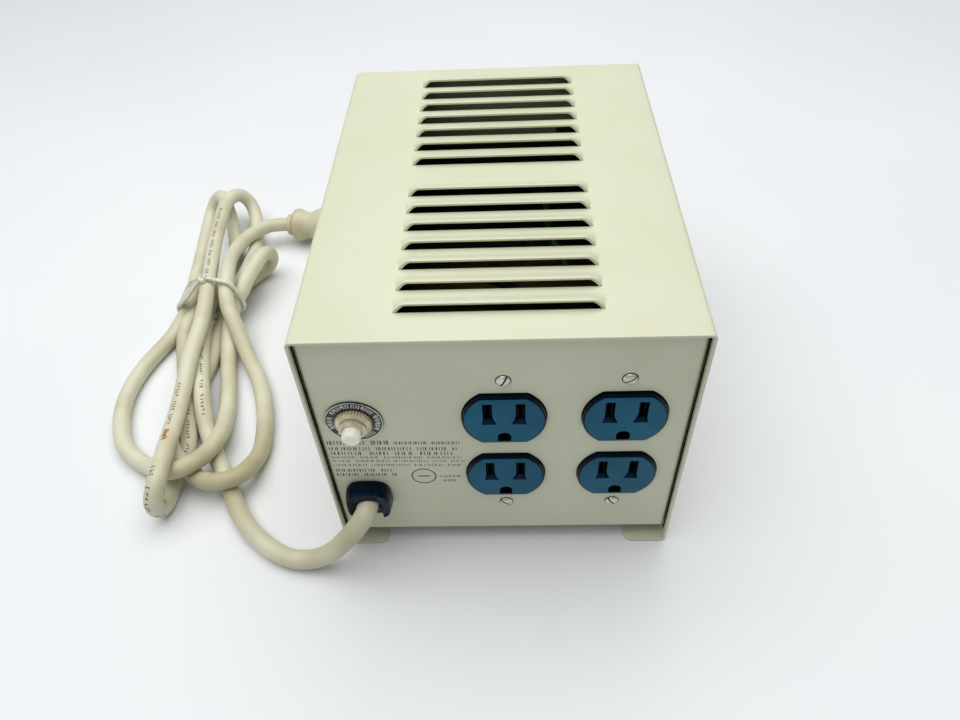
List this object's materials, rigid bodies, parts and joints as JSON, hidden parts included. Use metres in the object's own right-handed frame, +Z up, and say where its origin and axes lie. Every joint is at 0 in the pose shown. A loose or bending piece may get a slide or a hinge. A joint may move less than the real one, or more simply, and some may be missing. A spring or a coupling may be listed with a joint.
{
  "type": "isolation transformer",
  "caption": "Bench isolation transformer in a louvered steel case, with duplex receptacles, a push-to-reset breaker and a tied mains cord.",
  "frame": {"origin": "on the resting plane, under the middle of the case without its cord", "axes": "+Z up, outlet panel faces -Y, +X to the right seen from the outlet side"},
  "size_m": [0.3049, 0.2986, 0.1453],
  "materials": {
    "case_paint": "baked ivory-beige enamel, fine satin",
    "plated_steel": "zinc plated",
    "bright_nickel": "nickel plated",
    "spring_steel": "plain wire",
    "core_steel": "varnished silicon steel laminations",
    "copper": "enamelled copper",
    "contact_brass": "bare brass",
    "green_screw": "green dyed",
    "outlet_plastic": "slate thermoset",
    "black_moulding": "black phenolic",
    "dial_black": "black",
    "button_white": "white",
    "relief_nylon": "black nylon",
    "cord_jacket": "beige vinyl",
    "tie_rubber": "off-white rubber",
    "bobbin_plastic": "natural nylon",
    "coil_paper": "kraft wrap",
    "wire_black": "vinyl",
    "wire_white": "vinyl",
    "wire_green": "vinyl"
  },
  "bodies": {
    "root": {"cover": "case_paint", "chassis_tray": "case_paint", "cover_screws": "plated_steel", "receptacle_left_face": "outlet_plastic", "receptacle_right_face": "outlet_plastic", "receptacle_left_body": "black_moulding", "receptacle_right_body": "black_moulding", "receptacle_left_strap": "plated_steel", "receptacle_right_strap": "plated_steel", "receptacle_left_contacts": "contact_brass", "receptacle_right_contacts": "contact_brass", "receptacle_left_ground_clip": "contact_brass", "receptacle_right_ground_clip": "contact_brass", "receptacle_terminal_screws": "contact_brass", "receptacle_ground_screws": "green_screw", "receptacle_mount_screws": "bright_nickel", "breaker_dial_plate": "dial_black", "breaker_knurled_nut": "bright_nickel", "breaker_bushing": "bright_nickel", "breaker_body": "black_moulding", "breaker_spring": "spring_steel", "breaker_bimetal": "contact_brass", "breaker_terminals": "contact_brass", "strain_relief_body": "relief_nylon", "strain_relief_jaw": "relief_nylon", "cord_lead": "cord_jacket", "cord_tail": "cord_jacket", "cord_hank": "cord_jacket", "cord_tie": "tie_rubber", "plug_body": "cord_jacket", "plug_blades": "contact_brass", "plug_ground_pin": "contact_brass", "core_laminations": "core_steel", "coil_bobbin": "bobbin_plastic", "primary_winding": "copper", "secondary_winding": "copper", "electrostatic_shield": "copper", "coil_wrap": "coil_paper", "core_clamp_angles": "plated_steel", "core_clamp_bars": "plated_steel", "core_bolts": "plated_steel", "core_bolt_nuts": "plated_steel", "transformer_mount_screws": "plated_steel", "transformer_mount_nuts": "plated_steel", "ground_stud": "plated_steel", "ground_stud_nut": "plated_steel", "ground_ring_terminal": "contact_brass", "cord_inner_jacket": "cord_jacket", "wires_black": "wire_black", "wires_white": "wire_white", "wires_green": "wire_green", "wire_connector": "bobbin_plastic", "switch_body": "black_moulding", "switch_terminals": "contact_brass"},
    "reset_button": {"breaker_button": "button_white", "breaker_trip_plate": "contact_brass"},
    "power_rocker": {"switch_rocker": "dial_black"}
  },
  "joints": [
    {"name": "reset_button_slide", "type": "slide", "parent": "root", "child": "reset_button", "axis": [0, -1, 0], "range_m": [-0.001, 0.0035], "stiffness_N_per_m": 250, "deforming": ["breaker_spring"]},
    {"name": "power_rocker_hinge", "type": "hinge", "parent": "root", "child": "power_rocker", "pos_m": [0.044, 0.10153, 0.096], "axis": [1, 0, 0], "range_deg": [0, 24]}
  ]
}
